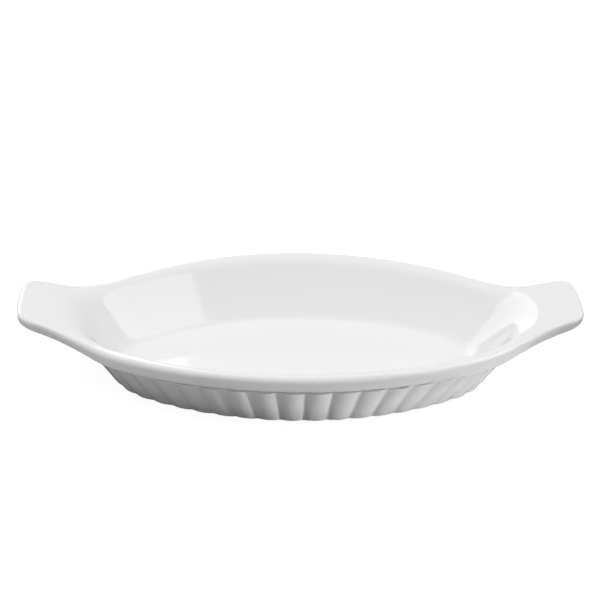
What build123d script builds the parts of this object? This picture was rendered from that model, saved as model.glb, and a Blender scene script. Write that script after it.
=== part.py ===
from build123d import *
import os
from math import atan2, cos, degrees, hypot, radians, sin, sqrt, tan

# Oval gratin dish in glazed porcelain, with a fluted wall, a plain rim band and two upswept ears.
# The dish is cast and fired in one piece. Its regions are separate solids that meet face to face.
# Origin: centre of the footprint, on the table. +X runs towards the right ear, +Z is up.
# Lengths are in millimetres and angles in degrees.

# Overall sizes
overall_length = 280.0      # tip to tip across both ears
overall_width = 154.0       # across the rim band at mid length
rim_height = 32.0           # from the table to the rim crest at mid length

# Plan outline of the rim and the ears, a chain of tangent arcs
side_point_inset = 4.4      # the long sides, carried on, would meet this far inside the ear tips
ear_root_radius = 56.0      # hollow curve between the oval and the ear
ear_width = 52.2            # across the ear at its corners
ear_corner_radius = 10.0
ear_end_radius = 195.0      # slightly bowed end of the ear

# Side view of the rim and the ears
crown_radius = 2050.0       # faint sag of the rim from mid length towards the ears
ear_slope = 17.0            # angle of the flat ear above the table
ear_tip_height = 40.6       # where the ears' upper faces would end before their edges are eased
ear_sweep_radius = 86.0     # upward sweep of the top face from rim to ear
ear_thickness = 5.0
under_sweep_radius = 70.0   # the same sweep on the underside
ear_length = 26.0           # from an ear's parting face to its tip

# Section of the rim band
band_height = 7.6           # from the crest to the band's lower edge
rim_width = 4.8             # from the band's outer face to the well's wall, level with the crest
rim_edge_bevel = 2.0        # first cut of the outer top edge's rounding
rim_edge_ease = 0.75        # second cut, on both corners of the first
mouth_bevel = 1.3           # first cut where the rim rolls over into the well
mouth_ease = 0.5            # second cut there
lower_edge_bevel = 0.8      # easing of the band's lower edge and of the ears' underside

# Well, the hollow that holds the food
floor_height = 4.6          # from the table to the well's floor
ear_reach = 30.0            # from an ear's tip to the well's wall, level with the crest
well_lean = 38.5            # the well's wall leans out from the vertical
cove_radius = 5.0           # rounding between floor and wall
seam_land = 0.5             # level strip between the cove and the parting face round the floor

# Fluted wall
flute_count = 44            # equal convex flutes, with a groove at mid length on both sides
flute_depth = 1.1           # from a flute's crest to the groove beside it, under the band
flute_foot_depth = 0.7      # the same at the foot of the wall
wall_lean = 35.6            # the flute crests lean out from the vertical
band_overhang = 1.6         # the band stands out past the flute crests under it
ear_overhang = 29.2         # the ears stand out past the flute crests, level with the band's lower edge
foot_lift = 0.6             # gap between the table and the flutes' lower ends
flute_bevel = 0.8           # height of the bevel across the flutes' lower ends
flute_bevel_inset = 1.4     # how far that bevel draws in
oval_turn = 34.5            # the side arcs of every oval turn this far before the end arcs take over

# Foot ring, left bare of glaze
foot_inset = 3.2            # from the flute crests to the ring's outer face
foot_width = 5.0
foot_height = 1.4           # from the table to the recessed underside of the floor
foot_edge_bevel = 0.4

# One overrun for everything that is cut
overrun = 5.0

# Derived sizes
half_length = overall_length / 2
half_width = overall_width / 2
band_low = rim_height - band_height
well_slant = tan(radians(well_lean))
wall_slant = tan(radians(wall_lean))


def heading(start, end):
    """Polar angle of the way from one point to another."""
    return degrees(atan2(end[1] - start[1], end[0] - start[0]))


def arc(centre, radius, start, end):
    """Arc about a centre from one polar angle to another, either way round."""
    return CenterArc(centre, radius, start, end - start)


def circle_meeting(first, first_reach, second, second_reach):
    """The point at the given distances from two centres, on the left of the way between them."""
    across = (second[0] - first[0], second[1] - first[1])
    gap = hypot(*across)
    along = (gap**2 + first_reach**2 - second_reach**2) / (2 * gap)
    aside = sqrt(first_reach**2 - along**2)
    unit = (across[0] / gap, across[1] / gap)
    return (first[0] + along * unit[0] - aside * unit[1], first[1] + along * unit[1] + aside * unit[0])


def oval(half_long, half_short, height):
    """Closed oval wire of four tangent arcs, starting at mid length on the +Y side."""
    turn = radians(oval_turn)
    drop = (half_long - half_short) / (1 + tan(turn) - 1 / cos(turn))
    end_x = drop * tan(turn)
    side = half_short + drop
    end = half_long - end_x
    right = 90 - oval_turn
    edges = [
        CenterArc((0, -drop), side, 90, -oval_turn),
        CenterArc((end_x, 0), end, right, -2 * right),
        CenterArc((0, drop), side, oval_turn - 90, -2 * oval_turn),
        CenterArc((-end_x, 0), end, right - 180, -2 * right),
        CenterArc((0, -drop), side, 90 + oval_turn, -oval_turn),
    ]
    return Pos(0, 0, height) * Wire(edges)


def rim_outline():
    """Closed plan outline of rim and ears."""
    side_point = half_length - side_point_inset
    side_radius = (half_width**2 + side_point**2) / (2 * half_width)
    side_centre = (0, half_width - side_radius)
    end_centre = (half_length - ear_end_radius, 0)
    corner_y = ear_width / 2 - ear_corner_radius
    corner_x = end_centre[0] + sqrt((ear_end_radius - ear_corner_radius) ** 2 - corner_y**2)
    corner_centre = (corner_x, corner_y)
    root_centre = circle_meeting(
        side_centre,
        side_radius + ear_root_radius,
        corner_centre,
        ear_root_radius + ear_corner_radius,
    )
    to_root = heading(side_centre, root_centre)
    to_corner = heading(corner_centre, root_centre)
    to_end = heading(end_centre, corner_centre)
    side = arc(side_centre, side_radius, 180 - to_root, to_root)
    right_ear = [
        arc(root_centre, ear_root_radius, to_root - 180, to_corner - 180),
        arc(corner_centre, ear_corner_radius, to_corner, to_end),
    ]
    right_ear += [mirror(edge, Plane.XZ) for edge in right_ear]
    right_ear.append(arc(end_centre, ear_end_radius, to_end, -to_end))
    left_ear = [mirror(edge, Plane.YZ) for edge in right_ear]
    return make_face([side, mirror(side, Plane.XZ)] + right_ear + left_ear)


def side_line(crest_radius, line_drop, sweep_radius):
    """A line of the side view from tip to tip: crown arc, upward sweeps and ears. Also its right end."""
    crown_centre = (0, rim_height - crown_radius)
    slope = radians(ear_slope)
    along = (cos(slope), sin(slope))
    above = (-sin(slope), cos(slope))
    lift = sweep_radius - line_drop
    start = (half_length + lift * above[0], ear_tip_height + lift * above[1])
    way = (start[0] - crown_centre[0], start[1] - crown_centre[1])
    forward = way[0] * along[0] + way[1] * along[1]
    reach = crest_radius + sweep_radius
    back = -forward + sqrt(forward**2 - (way[0] ** 2 + way[1] ** 2 - reach**2))
    sweep_centre = (start[0] + back * along[0], start[1] + back * along[1])
    to_sweep = heading(crown_centre, sweep_centre)
    line_start = (sweep_centre[0] - sweep_radius * above[0], sweep_centre[1] - sweep_radius * above[1])
    run = half_length + overrun - line_start[0]
    line_end = (line_start[0] + run, line_start[1] + run * tan(slope))
    right_ear = [
        arc(sweep_centre, sweep_radius, to_sweep - 180, ear_slope - 90),
        Line(line_start, line_end),
    ]
    crown = arc(crown_centre, crest_radius, 180 - to_sweep, to_sweep)
    return [crown] + right_ear + [mirror(edge, Plane.YZ) for edge in right_ear], line_end


def underside():
    """The lower edge line of rim band and ears, and its right end."""
    return side_line(crown_radius - band_height, ear_thickness, under_sweep_radius)


def side_block(edges):
    """Block across the whole dish from the outline of its side view."""
    return extrude(Plane.XZ * make_face(edges), half_width + overrun, both=True)


def curved_edges(edges):
    """Some edges without the straight seams among them."""
    return edges.filter_by(GeomType.LINE, reverse=True)


def curved_rim(solid, way):
    """The curved edges round the faces of a solid that look up (way 1) or down (way -1)."""
    steep = sin(radians(45))
    faces = solid.faces().filter_by(lambda face: face.normal_at().Z * way > steep)
    return curved_edges(faces.edges())


def eased(solid, edges, bevel, ease):
    """The solid with some edges rounded in two cuts: a bevel, then an easing of its two corners."""
    cut = chamfer(edges, bevel)
    return chamfer(curved_edges(new_edges(solid, combined=cut)), ease)


def rim_plate():
    """Rim band and ears as one plate: the plan outline cut to the side view, edges eased."""
    top, top_end = side_line(crown_radius, 0, ear_sweep_radius)
    low, low_end = underside()
    end = Line(top_end, low_end)
    slab = side_block(top + low + [end, mirror(end, Plane.YZ)])
    plate = extrude(rim_outline(), ear_tip_height + overrun) & slab
    plate = chamfer(curved_rim(plate, -1), lower_edge_bevel)
    return eased(plate, curved_rim(plate, 1), rim_edge_bevel, rim_edge_ease)


def rounding_reach(radius):
    """How far a rounding between the well's wall and its floor reaches along the floor."""
    return radius * tan(radians(90 - well_lean) / 2)


def well_oval(inset, height):
    """Oval at the foot of the well's wall, drawn in by an inset."""
    run = (rim_height - floor_height) * well_slant + inset
    return oval(half_length - ear_reach - run, half_width - rim_width - run, height)


def well():
    """The hollow of the dish, cut out of rim and wall, with its cove rounded."""
    depth = ear_tip_height + overrun - floor_height
    hollow = extrude(make_face(well_oval(0, floor_height)), depth, taper=-well_lean)
    bottom = hollow.faces().sort_by(Axis.Z)[0]
    return fillet(bottom.edges(), cove_radius)


def opened_plate(plate, hollow):
    """Rim band and ears with the well cut through them and its mouth eased."""
    opened = plate - hollow
    mid_band = rim_height - band_height / 2
    cuts = curved_edges(new_edges(plate, hollow, combined=opened))
    mouth = cuts.filter_by(lambda edge: edge.center().Z > mid_band)
    return eased(opened, mouth, mouth_bevel, mouth_ease)


def crest_oval(inset, height):
    """Oval through the flute crests at a height, drawn in by an inset."""
    run = (band_low - height) * wall_slant + inset
    return oval(half_length - ear_overhang - run, half_width - band_overhang - run, height)


def flute(low, high, number):
    """One convex flute: a leaning cone that bulges out of the wall from groove to groove."""
    start, middle, end = (number / flute_count, (number + 1 / 2) / flute_count, (number + 1) / flute_count)
    slant = high @ middle - low @ middle
    outward = slant.cross(low @ end - low @ start).normalized()
    levels = []
    for edge, depth in ((low, flute_foot_depth), (high, flute_depth)):
        chord = (edge @ end - edge @ start).length
        radius = (chord**2 / 4 + depth**2) / (2 * depth)
        levels.append((edge @ middle - outward * radius, radius))
    (foot, foot_radius), (head, head_radius) = levels
    axis = head - foot
    return Solid.make_cone(foot_radius, head_radius, axis.length, Plane(foot, z_dir=axis))


def wall_blank():
    """Core of the wall with every flute on it, from below the table up past the band's lower edge."""
    low = foot_lift - overrun
    high = rim_height
    depth = flute_depth + flute_foot_depth
    core = extrude(make_face(crest_oval(depth, low)), high - low, taper=-wall_lean)
    crests = [crest_oval(0, height) for height in (low, high)]
    return core.fuse(*[flute(*crests, number) for number in range(flute_count)])


def flute_ends():
    """Flaring block that bevels the flutes' lower ends and stops them above the table."""
    foot = make_face(crest_oval(flute_bevel_inset - flute_bevel * wall_slant, foot_lift))
    flare = degrees(atan2(flute_bevel_inset, flute_bevel))
    return extrude(foot, rim_height, taper=-flare)


def foot_oval(inset, height):
    """Oval inside the flute crests at the foot of the wall."""
    return crest_oval(inset + (height - foot_lift) * wall_slant, height)


def foot_ring():
    """Low ring under the wall, with the two edges that meet the table bevelled."""
    outer = extrude(make_face(foot_oval(foot_inset, 0)), foot_height)
    inner = extrude(make_face(foot_oval(foot_inset + foot_width, 0)), foot_height)
    ring = outer - inner
    tread = ring.faces().sort_by(Axis.Z)[0]
    return chamfer(tread.edges(), foot_edge_bevel)


def dish_floor():
    """Level oval slab inside the cove."""
    edge = well_oval(rounding_reach(cove_radius) + seam_land, foot_height)
    return extrude(make_face(edge), floor_height - foot_height)


def fluted_wall(hollow, floor):
    """Flutes trimmed to the band's underside, hollowed, with seats for the floor and the foot ring."""
    low, low_end = underside()
    below = (low_end[0], -overrun)
    side = Line(low_end, below)
    base = Line(below, (-below[0], -overrun))
    under_band = side_block(low + [side, base, mirror(side, Plane.YZ)])
    seat = extrude(make_face(foot_oval(foot_inset, 0)), foot_height)
    return (wall_blank() & flute_ends() & under_band) - hollow - floor - seat


os.makedirs("parts", exist_ok=True)
hollow = well()
opened = opened_plate(rim_plate(), hollow)
right_root = Plane.YZ.offset(half_length - ear_length)
left_root = Plane.YZ.offset(ear_length - half_length)
floor = dish_floor()
nodes = {
    "dish_floor": floor,
    "foot_ring": foot_ring(),
    "fluted_wall": fluted_wall(hollow, floor),
    "rim_band": split(split(opened, right_root, Keep.BOTTOM), left_root, Keep.TOP),
    "left_ear": split(opened, left_root, Keep.BOTTOM),
    "right_ear": split(opened, right_root, Keep.TOP),
}
for name, solid in nodes.items():
    export_step(solid, f"parts/{name}.step")
    box = solid.bounding_box()
    print(name, "volume", round(solid.volume), "from", box.min, "to", box.max)
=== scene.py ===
# %% [markdown]
# An oval gratin dish in white glazed porcelain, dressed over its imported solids.
# The solids give the box, the floor and the foot. This file gives the glaze, the soft edges of a
# fired piece and the light of a small white studio. Lengths are in metres, angles in degrees.

# %% The frame and its box
from math import atan2, cos, pi, radians, sin, sqrt, tan

import bpy
import numpy as np
from mathutils import Matrix, Vector


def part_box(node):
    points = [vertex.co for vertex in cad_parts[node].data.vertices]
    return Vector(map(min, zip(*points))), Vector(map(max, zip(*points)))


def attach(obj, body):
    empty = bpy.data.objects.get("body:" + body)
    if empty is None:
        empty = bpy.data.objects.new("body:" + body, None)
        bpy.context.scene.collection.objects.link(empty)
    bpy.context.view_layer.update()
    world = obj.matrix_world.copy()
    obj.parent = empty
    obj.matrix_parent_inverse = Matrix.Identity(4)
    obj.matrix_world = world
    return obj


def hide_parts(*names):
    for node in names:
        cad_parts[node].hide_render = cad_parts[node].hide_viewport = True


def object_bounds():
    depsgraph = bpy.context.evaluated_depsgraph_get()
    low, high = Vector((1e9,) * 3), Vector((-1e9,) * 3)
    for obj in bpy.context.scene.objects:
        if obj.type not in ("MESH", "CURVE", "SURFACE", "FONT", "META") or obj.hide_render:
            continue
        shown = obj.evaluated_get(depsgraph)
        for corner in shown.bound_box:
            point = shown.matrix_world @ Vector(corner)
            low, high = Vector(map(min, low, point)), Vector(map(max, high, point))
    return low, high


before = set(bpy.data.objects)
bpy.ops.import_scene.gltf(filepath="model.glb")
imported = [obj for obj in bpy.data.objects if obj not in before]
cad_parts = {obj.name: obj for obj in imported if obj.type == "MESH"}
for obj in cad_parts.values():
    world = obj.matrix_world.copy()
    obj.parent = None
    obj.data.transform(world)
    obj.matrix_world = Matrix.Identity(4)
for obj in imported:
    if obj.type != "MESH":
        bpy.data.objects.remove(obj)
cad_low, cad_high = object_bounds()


def in_mm(lengths):
    """Lengths in metres as rounded millimetres, for the printed notes."""
    return [round(float(length) * 1000, 2) for length in lengths]


print("CAD box in mm from", in_mm(cad_low), "to", in_mm(cad_high))

# %% [markdown]
# The dish is cast in one piece and glazed all over, so the eye meets one unbroken skin.
# It could be five solids with a shared finish, but then each parting face would show as a seam.
# Here the skin is one mesh: closed rings of points go round the dish, and the rings follow its
# section from the middle of the floor, over the rim and down the flutes to the underside.

# %% Sizes read from the frame
half_length = (cad_high.x - cad_low.x) / 2
half_width = (cad_high.y - cad_low.y) / 2
_, foot_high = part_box("foot_ring")
_, floor_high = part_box("dish_floor")
foot_height = foot_high.z
floor_height = floor_high.z
print("half length, half width, floor in mm", in_mm([half_length, half_width, floor_height]))

# %% [markdown]
# Rings can only be joined point to point if all have the same number of points: here twelve for
# each flute. All four quarters of the dish are alike, so the shapes are drawn once, for one
# quarter. Each point knows how far along its quarter it lies, and the signs of x and y there.

# %% Points round the dish
flute_count = 44
steps_per_flute = 12
around = flute_count * steps_per_flute
quarters_passed = np.arange(around) / around * 4
quarter = np.floor(quarters_passed).astype(int)
along_quarter = quarters_passed - quarter
along_quarter = np.where(quarter % 2 == 1, 1 - along_quarter, along_quarter)
x_sign = np.where(quarter < 2, 1, -1)
y_sign = np.where((quarter == 0) | (quarter == 3), 1, -1)
quarter_sign = np.stack([x_sign, y_sign], 1)
print("points round the dish", around)

# %% [markdown]
# Seen from above, the floor, the mouth and the fluted wall of the real dish are ovals.
# An ellipse is the quick choice, but a mould maker strikes an oval with a compass: a flat arc
# along each side and a tighter one at each end. The four-arc oval below is drawn that way, and
# its points are equally spaced along the arcs, so that the flutes come out equally wide.

# %% An oval of four arcs
oval_turn = 34.5


def oval(half_long, half_short):
    """Points on a four-arc oval, equally spaced along its arcs, and their outward normals."""
    turn = radians(oval_turn)
    drop = (half_long - half_short) / (1 + tan(turn) - 1 / cos(turn))
    end_x = drop * tan(turn)
    # Side and end are the radii of the flat arc and of the tight one.
    side = half_short + drop
    end = half_long - end_x
    distance = along_quarter * (side * turn + end * (pi / 2 - turn))
    on_side = distance < side * turn
    angle = np.where(on_side, distance / side, turn + (distance - side * turn) / end)
    x = np.where(on_side, side * np.sin(angle), end_x + end * np.sin(angle))
    y = np.where(on_side, side * np.cos(angle) - drop, end * np.cos(angle))
    points = np.stack([x, y], 1) * quarter_sign
    normals = np.stack([np.sin(angle), np.cos(angle)], 1) * quarter_sign
    return points, normals


# %% The well's mouth and floor
mouth_half_length = 0.112
mouth_half_width = 0.0699
well_floor_half_length = 0.0882
well_floor_half_width = 0.0504
mouth, _ = oval(mouth_half_length, mouth_half_width)
well_floor, _ = oval(well_floor_half_length, well_floor_half_width)
print("the well's mouth measures in mm", in_mm(np.ptp(mouth, 0)))

# %% [markdown]
# The rim's outline is a lens with two ears: a long arc on each side, a hollow arc at each ear's
# root, a small round corner and a slightly bowed end. A traced curve would wobble, so the arcs
# are worked out from their radii, each one touching the next, as on a drawing for the mould.


# %% Helpers for arcs that touch
def circle_meeting(first, first_reach, second, second_reach):
    """The point at the given distances from two centres, on the left of the way between them."""
    across = second - first
    gap = np.hypot(*across)
    along = (gap**2 + first_reach**2 - second_reach**2) / (2 * gap)
    aside = sqrt(first_reach**2 - along**2)
    unit = across / gap
    return first + along * unit + aside * np.array([-unit[1], unit[0]])


def heading(start, end):
    """Angle of the way from one point to another, turned from the +Y direction towards +X."""
    return atan2(end[0] - start[0], end[1] - start[1])


# %% The plan outline of rim and ears
side_point_inset = 0.0044
ear_root_radius = 0.056
ear_width = 0.0522
ear_corner_radius = 0.010
ear_end_radius = 0.195
# The long side's arc, if it ran on past the ear's root, would end at the side point on the X axis.
side_point = half_length - side_point_inset
side_radius = (half_width**2 + side_point**2) / (2 * half_width)
side_centre = np.array([0, half_width - side_radius])
corner_y = ear_width / 2 - ear_corner_radius
corner_run = sqrt((ear_end_radius - ear_corner_radius) ** 2 - corner_y**2)
end_centre = np.array([half_length - ear_end_radius, 0])
corner_centre = end_centre + [corner_run, corner_y]
root_centre = circle_meeting(
    side_centre, side_radius + ear_root_radius, corner_centre, ear_root_radius + ear_corner_radius
)
to_root = heading(side_centre, root_centre)
to_corner = heading(corner_centre, root_centre)
to_end = heading(end_centre, corner_centre)
# Each arc has its centre, radius, first and last heading, and 1 where it bulges or -1 where hollow.
outline_arcs = [
    (side_centre, side_radius, 0, to_root, 1),
    (root_centre, ear_root_radius, to_root + pi, to_corner + pi, -1),
    (corner_centre, ear_corner_radius, to_corner, to_end, 1),
    (end_centre, ear_end_radius, to_end, pi / 2, 1),
]
arc_lengths = [radius * abs(stop - start) for _, radius, start, stop, _ in outline_arcs]
print("arc lengths of a quarter of the outline in mm", in_mm(arc_lengths))

# %% Points on the outline
# A point where two arcs meet could miss both by a rounding error, so each arc gets a hair more.
arc_slack = 1e-9


def outline(distance):
    """Points and outward normals on one quarter of the outline, at distances from its long side."""
    points = np.zeros((len(distance), 2))
    normals = np.zeros((len(distance), 2))
    begun = 0
    for (centre, radius, start, stop, bulge), length in zip(outline_arcs, arc_lengths):
        here = (distance >= begun - arc_slack) & (distance <= begun + length + arc_slack)
        angle = start + (stop - start) * (distance[here] - begun) / length
        ray = np.stack([np.sin(angle), np.cos(angle)], 1)
        points[here] = centre + radius * ray
        normals[here] = bulge * ray
        begun += length
    return points, normals


print("the ear's end lies in mm at", in_mm(outline(np.array([sum(arc_lengths)]))[0][0]))

# %% [markdown]
# The outline and the ovals under it have to be joined point to point, or the rim would twist.
# Equal steps along each would drift apart near the ears. So the long side of the outline takes
# a fixed share of each quarter's points, and the ear takes the rest.

# %% Matching the outline to the oval wall under it
side_share = 0.74
outline_distance = np.interp(along_quarter, [0, side_share, 1], [0, arc_lengths[0], sum(arc_lengths)])
quarter_rim, quarter_normal = outline(outline_distance)
rim = quarter_rim * quarter_sign
rim_normal = quarter_normal * quarter_sign
print("the outline measures in mm", in_mm(np.ptp(rim, 0)))

# %% [markdown]
# Seen from the side, the rim sags a little towards the ends and then sweeps up into the ears,
# which run out straight. One line of three parts gives that height at every x. The underside
# follows the same line, dropped by the band's height and, towards the tips, by the ear's thickness.

# %% The side view of the rim and the ears
rim_height = 0.032
crown_radius = 2.05
sweep_start = 0.089
ear_sweep_radius = 0.086
ear_slope = 17.0
ear_thickness = 0.005
band_height = 0.0076


def side_line(x, side_drop, ear_drop):
    """Height of a line of the side view at x: crown arc, sweep and straight ear, less the drops."""
    slope = radians(ear_slope)
    start_angle = np.arcsin(sweep_start / crown_radius)
    sweep_x = sweep_start + ear_sweep_radius * sin(start_angle)
    crown_low = crown_radius - sqrt(crown_radius**2 - sweep_start**2)
    sweep_z = rim_height - crown_low + ear_sweep_radius * cos(start_angle)
    straight_x = sweep_x + ear_sweep_radius * sin(slope)
    straight_z = sweep_z - ear_sweep_radius * cos(slope)
    x = np.abs(x)
    crown = rim_height - crown_radius + np.sqrt(crown_radius**2 - np.minimum(x, sweep_start) ** 2)
    reach = np.clip(x - sweep_x, -ear_sweep_radius, ear_sweep_radius * sin(slope))
    sweep = sweep_z - np.sqrt(ear_sweep_radius**2 - reach**2)
    straight = straight_z + (x - straight_x) * tan(slope)
    top = np.where(x < sweep_start, crown, np.where(x < straight_x, sweep, straight))
    # The blend from the band to the ear starts and ends level, so that neither line has a kink.
    blend = np.clip((x - sweep_start) / (straight_x - sweep_start), 0, 1)
    blend = blend * blend * (3 - 2 * blend)
    return top - side_drop * (1 - blend) - ear_drop * blend


def top_line(x):
    """Height of the rim's and the ears' upper face."""
    return side_line(x, 0, 0)


def low_line(x):
    """Height of the band's lower edge and of the ears' underside."""
    return side_line(x, band_height, ear_thickness / cos(radians(ear_slope)))


print("ear tip and CAD top in mm", in_mm([top_line(half_length), cad_high.z]))

# %% [markdown]
# The section has sharp corners first and roundings later, as a carpenter marks out before
# planing. Where a slanted wall runs into the curved line of the rim, the height depends on the
# place and the place on the height, so a ring is tried a few times until it rests.

# %% Rings that rest on a surface
settle_tries = 12


def ring(plan, height):
    """A ring of points from its plan and its height."""
    height = np.broadcast_to(height, (len(plan),))
    return np.column_stack([plan, height])


def settle(plan_at, surface):
    """The ring where a slanted wall meets a surface of the side view."""
    height = np.full(around, rim_height)
    for _ in range(settle_tries):
        height = surface(plan_at(height)[:, 0])
    return ring(plan_at(height), height)


def well_wall(height):
    """Plan of the well's wall at a height."""
    rise = ((height - floor_height) / (rim_height - floor_height))[:, None]
    return well_floor + (mouth - well_floor) * rise


mouth_corner = settle(well_wall, top_line)
print("the mouth's height in mm from and to", in_mm([min(mouth_corner[:, 2]), max(mouth_corner[:, 2])]))

# %% [markdown]
# The flutes are the dish's main ornament: 44 rounded ribs that lean outwards with the wall, with
# a narrow groove between each two. They could be set on one by one, or painted as bump, which
# would leave the foot's edge plain. Here each ring's points step inwards from a rib's crest by a
# parabola, deepest in the groove, so the ribs are real shape. They are shallower at the foot, as
# a mould needs.

# %% The fluted wall
crest_top_half_length = 0.1108
crest_top_half_width = 0.0754
wall_lean = 35.6
flute_depth = 0.0019
flute_foot_depth = 0.0011
foot_lift = 0.0006
band_low = rim_height - band_height
crest_inset = (band_low - foot_lift) * tan(radians(wall_lean))
crest_top, crest_normal = oval(crest_top_half_length, crest_top_half_width)
crest_base, base_normal = oval(
    crest_top_half_length - crest_inset, crest_top_half_width - crest_inset
)
from_crest = (np.arange(around) % steps_per_flute) / steps_per_flute - 1 / 2
groove_share = (2 * from_crest) ** 2


def flute_wall(height):
    """Plan of the fluted wall at a height."""
    rise = ((height - foot_lift) / (band_low - foot_lift))[:, None]
    low = crest_base - base_normal * (flute_foot_depth * groove_share)[:, None]
    high = crest_top - crest_normal * (flute_depth * groove_share)[:, None]
    return low + (high - low) * rise


print("the crests measure in mm", in_mm(np.ptp(crest_top, 0)), "and", in_mm(np.ptp(crest_base, 0)))

# %% [markdown]
# Under the plain band runs a thin dark line, where the band stands proud of the flutes. It could
# be a painted line, but real shadow moves with the light. So the wall has a narrow slot there,
# deeper than it is tall, and the band's lower edge tucks in a little above it.

# %% Corners of the section, one closed ring each
band_tuck = 0.0010
slot_depth = 0.0034
slot_height = 0.0020
floor_corner = ring(well_wall(np.full(around, floor_height)), floor_height)
rim_top_corner = ring(rim, top_line(rim[:, 0]))
rim_low_corner = ring(rim - rim_normal * band_tuck, low_line(rim[:, 0]))
wall_top_corner = settle(flute_wall, low_line)
slot_top_plan = wall_top_corner[:, :2] - crest_normal * slot_depth
slot_top_corner = ring(slot_top_plan, low_line(wall_top_corner[:, 0]))
lip_height = wall_top_corner[:, 2] - slot_height
lip_corner = ring(flute_wall(lip_height), lip_height)
slot_low_corner = ring(flute_wall(lip_height) - crest_normal * slot_depth, lip_height)
wall_low_corner = ring(flute_wall(np.full(around, foot_lift)), foot_lift)
foot_plan, _ = oval(foot_high.x, foot_high.y)
seat_corner = ring(foot_plan, foot_lift)
seat_top_corner = ring(foot_plan, foot_height)
print("floor and foot measure in mm", in_mm(np.ptp(floor_corner, 0)), in_mm(np.ptp(foot_plan, 0)))

# %% [markdown]
# No corner of a glazed pot is sharp: glaze pulls back from an edge and pools in a hollow. A bevel
# modifier rounds all edges alike, but here the mouth rolls widely near the ears and tightly at
# the sides. So each rounding is its own conic arc between two stretches, with its radius given
# point by point, and the first or last ring laid on the side view where it should stay on it.


# %% Rounding a corner and joining the rings
def length_of(vectors):
    """Lengths of a ring's vectors, as a column."""
    return np.linalg.norm(vectors, axis=1, keepdims=True)


def rounded(before, corner, after, radius, steps, before_line=None, after_line=None, far_reach=None):
    """Rings of a rounding at a corner between two stretches: round, or oval by far_reach."""
    back = (before - corner) / length_of(before - corner)
    forth = (after - corner) / length_of(after - corner)
    inner = np.arccos(np.clip(np.sum(back * forth, 1, keepdims=True), -1, 1))
    reach = radius / np.tan(inner / 2)
    weight = np.sin(inner / 2)
    first = corner + back * reach
    last = corner + forth * (reach if far_reach is None else far_reach)
    if before_line:
        first[:, 2] = before_line(first[:, 0])
    if after_line:
        last[:, 2] = after_line(last[:, 0])
    rings = []
    for t in np.linspace(0, 1, steps + 1):
        pull = (1 - t) ** 2, 2 * t * (1 - t) * weight, t**2
        blended = pull[0] * first + pull[1] * corner + pull[2] * last
        rings.append(blended / sum(pull))
    return rings


def stretch(start, end, steps, line=None):
    """Rings strictly between two rings, laid on a line of the side view where one is given."""
    rings = []
    for t in np.arange(1, steps) / steps:
        between = start + (end - start) * t
        if line:
            between[:, 2] = line(between[:, 0])
        rings.append(between)
    return rings


# %% [markdown]
# Where the floor meets the wall there is a cove, so that a spoon can follow it. The real one is
# tight along the sides and wider at the ends, so the radius grows with a high power of x. The
# ring that stands before the corner lies further in on the floor and only gives the direction.

# %% The cove round the floor
cove_radius = 0.005
end_cove_radius = 0.012
end_sharpness = 4
cove_steps = 10
inwards = np.array([0.9, 0.9, 1])
end_share = (np.abs(well_floor[:, :1]) / well_floor_half_length) ** end_sharpness
cove_size = cove_radius + (end_cove_radius - cove_radius) * end_share
cove = rounded(floor_corner * inwards, floor_corner, mouth_corner, cove_size, cove_steps)
print("cove radius in mm from and to", in_mm([cove_size.min(), cove_size.max()]))

# %% [markdown]
# The rim's outer edge is a soft quarter round that gets finer towards the ear tips, and it
# reaches further down the band than in over the top. The mouth rolls into the well with all the
# width that is left, up to a wide shoulder at the ears. More roll than that would fold the skin.

# %% The roll of the mouth
band_edge_radius = 0.0022
ear_edge_radius = 0.0018
rim_flat = 0.0004
roll_share = 1.85
shoulder_radius = 0.028
roll_steps = 16
ear_share = np.clip((np.abs(rim[:, :1]) - sweep_start) / (half_length - sweep_start), 0, 1)
outer_edge_radius = band_edge_radius + (ear_edge_radius - band_edge_radius) * ear_share
width_left = length_of(rim_top_corner - mouth_corner) - outer_edge_radius - rim_flat
roll_radius = np.minimum(width_left * roll_share, shoulder_radius)
mouth_edge = rounded(
    floor_corner, mouth_corner, rim_top_corner, roll_radius, roll_steps, after_line=top_line
)
print("mouth roll in mm from and to", in_mm([roll_radius.min(), roll_radius.max()]))

# %% The outer edge of the band
outer_edge_drop = 0.0032
face_share = 0.7
edge_steps = 10
band_face = length_of(rim_low_corner - rim_top_corner)
full_drop = outer_edge_drop * outer_edge_radius / band_edge_radius
edge_drop = np.minimum(full_drop, band_face * face_share)
outer_edge = rounded(
    mouth_corner,
    rim_top_corner,
    rim_low_corner,
    outer_edge_radius,
    edge_steps,
    before_line=top_line,
    far_reach=edge_drop,
)
print("the outer edge reaches down in mm from and to", in_mm([edge_drop.min(), edge_drop.max()]))

# %% [markdown]
# Under the rim come the small edges: the band's lower edge, the slot's two corners, its lip and
# the feet of the flutes. One radius for all would be simpler, but it would either fill the slot
# or leave the band and the flutes too sharp. So each edge keeps its own.

# %% The lower edge of the band, the slot and the foot of the flutes
lower_edge_radius = 0.0012
slot_radius = 0.0002
lip_radius = 0.0004
flute_end_radius = 0.0009
small_edge_steps = 5
lower_edge = rounded(
    rim_top_corner,
    rim_low_corner,
    slot_top_corner,
    lower_edge_radius,
    small_edge_steps,
    after_line=low_line,
)
slot_top = rounded(
    rim_low_corner,
    slot_top_corner,
    slot_low_corner,
    slot_radius,
    small_edge_steps,
    before_line=low_line,
)
slot_low = rounded(slot_top_corner, slot_low_corner, lip_corner, slot_radius, small_edge_steps)
lip = rounded(slot_low_corner, lip_corner, wall_low_corner, lip_radius, small_edge_steps)
flute_end = rounded(lip_corner, wall_low_corner, seat_corner, flute_end_radius, edge_steps)
print("rings in the small roundings", len(lower_edge + slot_top + slot_low + lip + flute_end))

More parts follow.
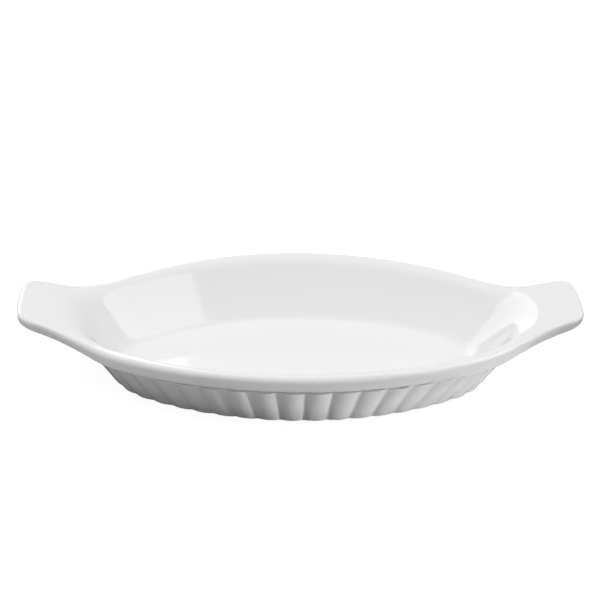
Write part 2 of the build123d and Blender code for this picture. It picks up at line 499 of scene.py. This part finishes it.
# %% [markdown]
# The rings are now listed in the order a finger would meet them: out from the middle of the
# floor, up the well, over the rim, under the band, down the flutes and in under the dish.

# %% The rings in order
floor_ring_count = 12
floor_ring_first = 0.04
floor_ring_last = 0.96
floor_shares = np.linspace(floor_ring_first, floor_ring_last, floor_ring_count)
underside_shares = (0.6, 0.1)
well_steps = 14
rim_top_steps = 14
band_steps = 4
underside_steps = 12
flute_steps = 16
sections = (
    [cove[0] * [s, s, 1] for s in floor_shares]
    + cove
    + stretch(cove[-1], mouth_edge[0], well_steps)
    + mouth_edge
    + stretch(mouth_edge[-1], outer_edge[0], rim_top_steps, top_line)
    + outer_edge
    + stretch(outer_edge[-1], lower_edge[0], band_steps)
    + lower_edge
    + stretch(lower_edge[-1], slot_top[0], underside_steps, low_line)
    + slot_top
    + slot_low
    + lip
    + stretch(lip[-1], flute_end[0], flute_steps)
    + flute_end
    + [seat_corner, seat_top_corner]
    + [seat_top_corner * [s, s, 1] for s in underside_shares]
)
print("rings", len(sections))

# %% [markdown]
# Rings could be bridged with Blender's tools one pair at a time. Writing the faces as rows of
# numbers is quicker and always gives the same mesh. A fan closes the first ring and the last,
# and smooth shading does the rest, because the roundings already have enough rings.


# %% The glazed skin
def skin(name, rings):
    """A closed mesh through the rings, with a fan over the first and the last."""
    count = len(rings[0])
    vertices = np.concatenate(rings + [rings[0].mean(0)[None], rings[-1].mean(0)[None]])
    step = np.arange(count)
    after = (step + 1) % count
    faces = []
    for row in range(len(rings) - 1):
        low, high = row * count, (row + 1) * count
        faces += np.column_stack([low + step, high + step, high + after, low + after]).tolist()
    first_middle, last_middle = len(rings) * count, len(rings) * count + 1
    last_row = (len(rings) - 1) * count
    faces += np.column_stack([step, after, np.full(count, first_middle)]).tolist()
    last_fan = [last_row + after, last_row + step, np.full(count, last_middle)]
    faces += np.column_stack(last_fan).tolist()
    mesh = bpy.data.meshes.new(name)
    mesh.from_pydata(vertices.tolist(), [], faces)
    mesh.validate()
    mesh.shade_smooth()
    made = bpy.data.objects.new(name, mesh)
    bpy.context.scene.collection.objects.link(made)
    print(name, len(mesh.vertices), "points", len(mesh.polygons), "faces")
    return made


dish = skin("glazed_dish", sections)
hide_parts("dish_floor", "fluted_wall", "rim_band", "left_ear", "right_ear")
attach(dish, "root")

# %% [markdown]
# A shader is a formula drawn with boxes and wires. Wiring by hand hides the formula, so a small
# class wraps a socket and lets plain sums and products add the Math nodes. A second one holds a
# node tree, and its one method adds any other node with its settings, values and links.


# %% Shader maths as plain expressions
class Paint:
    """An output socket in a node tree. Sums and products of paints add the Math nodes."""

    def __init__(self, tree, socket):
        self.tree = tree
        self.socket = socket

    def maths(self, operation, first, second):
        """Adds a Math node that works on two paints, or on a paint and a number."""
        return self.tree.add("ShaderNodeMath", {"operation": operation}, {0: first, 1: second})

    def __add__(self, other):
        return self.maths("ADD", self, other)

    def __radd__(self, other):
        return self.maths("ADD", other, self)

    def __mul__(self, other):
        return self.maths("MULTIPLY", self, other)

    def __rmul__(self, other):
        return self.maths("MULTIPLY", other, self)


class Recipe:
    """The node tree of a material or of the world, emptied and then filled node by node."""

    def __init__(self, owner):
        owner.use_nodes = True
        self.nodes = owner.node_tree.nodes
        self.links = owner.node_tree.links
        self.nodes.clear()

    def add(self, kind, settings=None, sockets=None, output=0):
        """Adds a node: its settings first, then its sockets' values or links."""
        node = self.nodes.new(kind)
        for name, value in (settings or {}).items():
            setattr(node, name, value)
        for name, value in (sockets or {}).items():
            if isinstance(value, Paint):
                self.links.new(value.socket, node.inputs[name])
            else:
                node.inputs[name].default_value = value
        return Paint(self, node.outputs[output]) if node.outputs else node


# %% [markdown]
# Both finishes of the dish vary a little over its surface. A painted image would need the skin
# cut open and laid flat. A noise in the object's own coordinates needs no such map, has no seam
# and moves with the dish. The same noise drives the gloss and, as bump, the fine relief.

# %% Porcelain, glazed or bare
refractive_index = 1.5


def porcelain(name, colour, rough_from, rough_spread, grains, detail, bump_strength, bump_height):
    """Porcelain whose roughness and fine relief follow one noise, with its grains per metre."""
    made = bpy.data.materials.new(name)
    tree = Recipe(made)
    place = tree.add("ShaderNodeTexCoord", output="Object")
    grain = tree.add("ShaderNodeTexNoise", {}, {"Vector": place, "Scale": grains, "Detail": detail})
    relief = {"Height": grain, "Strength": bump_strength, "Distance": bump_height}
    body = {
        "Base Color": colour,
        "Roughness": rough_from + grain * rough_spread,
        "Normal": tree.add("ShaderNodeBump", {}, relief),
        "IOR": refractive_index,
    }
    surface = tree.add("ShaderNodeBsdfPrincipled", {}, body)
    tree.add("ShaderNodeOutputMaterial", {}, {"Surface": surface})
    print(name, "has a roughness from", rough_from, "to", round(rough_from + rough_spread, 2))
    return made


# %% [markdown]
# The glaze is a clear glassy coat on white porcelain, thick enough to hide the grain of the
# clay. A perfect mirror would look like plastic. So the noise is broad and its relief is faint:
# it ripples the reflections and dulls them a little here and there, as melted glaze does.

# %% White glaze
white_glaze = porcelain(
    "white_glaze",
    colour=(0.91, 0.91, 0.91, 1),
    rough_from=0.05,
    rough_spread=0.05,
    grains=90.0,
    detail=2.0,
    bump_strength=0.02,
    bump_height=0.001,
)
dish.data.materials.append(white_glaze)

# %% [markdown]
# The ring that the dish stands on is wiped clean of glaze before firing, or it would stick to
# the kiln shelf. Bare porcelain is dull, a little warmer and finely grained. The ring's shape
# in the frame is already right, so it stays and only takes this material.

# %% Bare foot
bare_foot = porcelain(
    "bare_foot",
    colour=(0.74, 0.72, 0.68, 1),
    rough_from=0.6,
    rough_spread=0.2,
    grains=1500.0,
    detail=4.0,
    bump_strength=0.3,
    bump_height=0.0002,
)
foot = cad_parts["foot_ring"]
foot.data.materials.clear()
foot.data.materials.append(bare_foot)

# %% [markdown]
# The photograph was taken from a little above the rim, through a long lens. Moving a camera by
# eye never quite lands, so its tilt, turn and roll come from fitting the dish's outline, and
# its lens from how many pixels a metre at the rim takes.

# %% The camera's place
camera_tilt = radians(23.95)
camera_turn = radians(-2.49)
camera_roll = radians(1.02)
camera_distance = 1.0
aim_x = -0.000327
aim_above_rim = 0.006042
look_at = Vector((aim_x, 0, rim_height + aim_above_rim))
back = Vector(
    (sin(camera_turn) * cos(camera_tilt), -cos(camera_turn) * cos(camera_tilt), sin(camera_tilt))
)
level = (-back).cross(Vector((0, 0, 1))).normalized()
upright = level.cross(-back)
right = level * cos(camera_roll) + upright * sin(camera_roll)
up = upright * cos(camera_roll) - level * sin(camera_roll)
facing = Matrix((right, up, back)).transposed()
print("the camera stands in mm at", in_mm(look_at + back * camera_distance))

# %% The camera's lens
photo_width = 600
pixels_per_metre = 2013
sensor_width_in_mm = 36
camera_data = bpy.data.cameras.new("camera")
camera_data.sensor_width = sensor_width_in_mm
camera_data.lens = sensor_width_in_mm * pixels_per_metre / photo_width * camera_distance
camera = bpy.data.objects.new("camera", camera_data)
camera.matrix_world = Matrix.Translation(look_at + back * camera_distance) @ facing.to_4x4()
bpy.context.scene.collection.objects.link(camera)
bpy.context.scene.camera = camera
print("the lens in mm", round(camera_data.lens, 2))

# %% [markdown]
# A product picture stands on white paper. If the paper were lit until it turned white, the dish
# would burn out with it. So the paper glows only for the eye: where light gathers it is a
# plain mid grey, and its look keeps a share of real shading, which shows the dish's shadow.

# %% Floor
floor_reach = 8
floor_mesh = bpy.data.meshes.new("studio_floor")
corners = [(x * floor_reach, y * floor_reach, 0) for x, y in ((-1, -1), (1, -1), (1, 1), (-1, 1))]
floor_mesh.from_pydata(corners, [], [(0, 1, 2, 3)])
studio_floor = bpy.data.objects.new("studio_floor", floor_mesh)
bpy.context.scene.collection.objects.link(studio_floor)
print("the floor reaches", floor_reach, "metres each way")

# %% Paper
paper_bounce = 0.43
paper_shade = 0.25
paper_glow = 0.91


def grey(level):
    """A neutral colour."""
    return (level, level, level, 1)


def seen_directly(tree):
    """1 where the eye looks, 0 where light gathers."""
    return tree.add("ShaderNodeLightPath", output="Is Camera Ray")


paper = bpy.data.materials.new("paper")
paper_tree = Recipe(paper)
bounce = paper_tree.add("ShaderNodeBsdfDiffuse", {}, {"Color": grey(paper_bounce)})
shaded = paper_tree.add("ShaderNodeBsdfDiffuse", {}, {"Color": grey(paper_shade)})
glow = paper_tree.add("ShaderNodeEmission", {}, {"Color": grey(1), "Strength": paper_glow})
look = paper_tree.add("ShaderNodeAddShader", {}, {0: shaded, 1: glow})
paper_surface = paper_tree.add(
    "ShaderNodeMixShader", {}, {0: seen_directly(paper_tree), 1: bounce, 2: look}
)
paper_tree.add("ShaderNodeOutputMaterial", {}, {"Surface": paper_surface})
floor_mesh.materials.append(paper)
print("the paper gives back", paper_bounce, "of the light that falls on it")

# %% [markdown]
# The room is white to the eye and in the glaze's reflections, but it lights the dish gently:
# little from the horizon and more from overhead, as under a ceiling of diffusers. That keeps
# the band under the rim in half shade while the floor of the well stays bright. The light grows
# with the third power of how far a direction climbs, and stays level below the horizon.

# %% The room's light
horizon_light = 0.18
overhead_light = 0.76
white_strength = 1.0
world = bpy.data.worlds.new("studio")
bpy.context.scene.world = world
world_tree = Recipe(world)
direction = world_tree.add("ShaderNodeTexCoord", output="Generated")
upwards = world_tree.add("ShaderNodeSeparateXYZ", {}, {"Vector": direction}, output="Z")
climb = world_tree.add("ShaderNodeClamp", {}, {"Value": upwards})
room_light = horizon_light + climb * climb * climb * overhead_light
mirrored = world_tree.add("ShaderNodeLightPath", output="Is Glossy Ray")
dim = world_tree.add("ShaderNodeBackground", {}, {"Color": grey(1), "Strength": room_light})
bright = world_tree.add("ShaderNodeBackground", {}, {"Color": grey(1), "Strength": white_strength})
seen_or_mirrored = seen_directly(world_tree) + mirrored
room = world_tree.add("ShaderNodeMixShader", {}, {0: seen_or_mirrored, 1: dim, 2: bright})
world_tree.add("ShaderNodeOutputWorld", {}, {"Surface": room})
print("room light from", horizon_light, "to", round(horizon_light + overhead_light, 2))

# %% [markdown]
# A lamp does two jobs: it lights the dish, and its own shape is mirrored in the glaze. A real
# softbox does both at once, so a stronger patch in the glaze also means more light on the dish.
# To set them apart from each other, each lamp here does one job: a mirror lamp shows only in the
# gloss, and a soft one only lights.

# %% A lamp for one job
all_round = 180


def softbox(name, place, aim, size, power, job, spread=all_round):
    """A flat lamp that faces a point. Its job is mirror, to show in the gloss, or soft, to light."""
    data = bpy.data.lights.new(name, "AREA")
    data.shape = "RECTANGLE"
    data.size, data.size_y = size
    data.energy = power
    data.spread = radians(spread)
    lamp = bpy.data.objects.new(name, data)
    lamp.location = place
    lamp.rotation_mode = "QUATERNION"
    lamp.rotation_quaternion = (Vector(aim) - Vector(place)).to_track_quat("-Z", "Y")
    lamp.visible_diffuse = job != "mirror"
    lamp.visible_glossy = job != "soft"
    lamp.visible_camera = False
    bpy.context.scene.collection.objects.link(lamp)
    print(name, size, "metres,", power, "watts,", job)


# %% [markdown]
# Two windows are mirrored in the dish: a tall patch on the left wall and a bright one at the
# right end. Their places come from following the view from the camera to each patch and on, as
# a mirror sends it. The first stands upright on the right, the second behind the dish.

# %% The windows in the glaze
softbox(
    "right_window",
    place=(1.0, -0.2, 0.95),
    aim=(0, -0.2, 0.95),
    size=(1.46, 1.65),
    power=14.5,
    job="mirror",
)
softbox(
    "back_window",
    place=(-0.62, 1.12, 0.5),
    aim=(0.04, 0, 0.5),
    size=(1.25, 0.95),
    power=4.6,
    job="mirror",
)

# %% [markdown]
# Three large fills light the dish softly from the front and from both sides. One large lamp would
# do for soft light, but three can be balanced: their powers were set until the floor, the walls
# and the ears came out about as bright as in the photograph.

# %% The fills
middle = (0, 0, 0)
fill_size = (0.8, 0.8)
for fill_name, fill_place, fill_power in (
    ("front_fill", (0, -0.36, 1.22), 3.9),
    ("left_fill", (-0.95, -0.05, 0.8), 3.2),
    ("right_fill", (0.85, -0.05, 0.75), 2.1),
):
    softbox(fill_name, fill_place, middle, fill_size, fill_power, "soft")

# %% [markdown]
# Each rib of the wall is dark on its left and light on its right, so light rakes along the wall
# from low on the right. A broad card there would burn out the edge of the right ear. This lamp
# is a low strip just above the paper, and its narrow spread keeps its light on the flutes.

# %% The raking beam
softbox(
    "raking_beam",
    place=(0.585, -0.24, 0.012),
    aim=(0, -0.075, 0.009),
    size=(0.3, 0.02),
    power=0.026,
    job="soft",
    spread=6,
)

# %% [markdown]
# Standard shows a colour as it is written.

bpy.context.scene.view_settings.view_transform = "Standard"
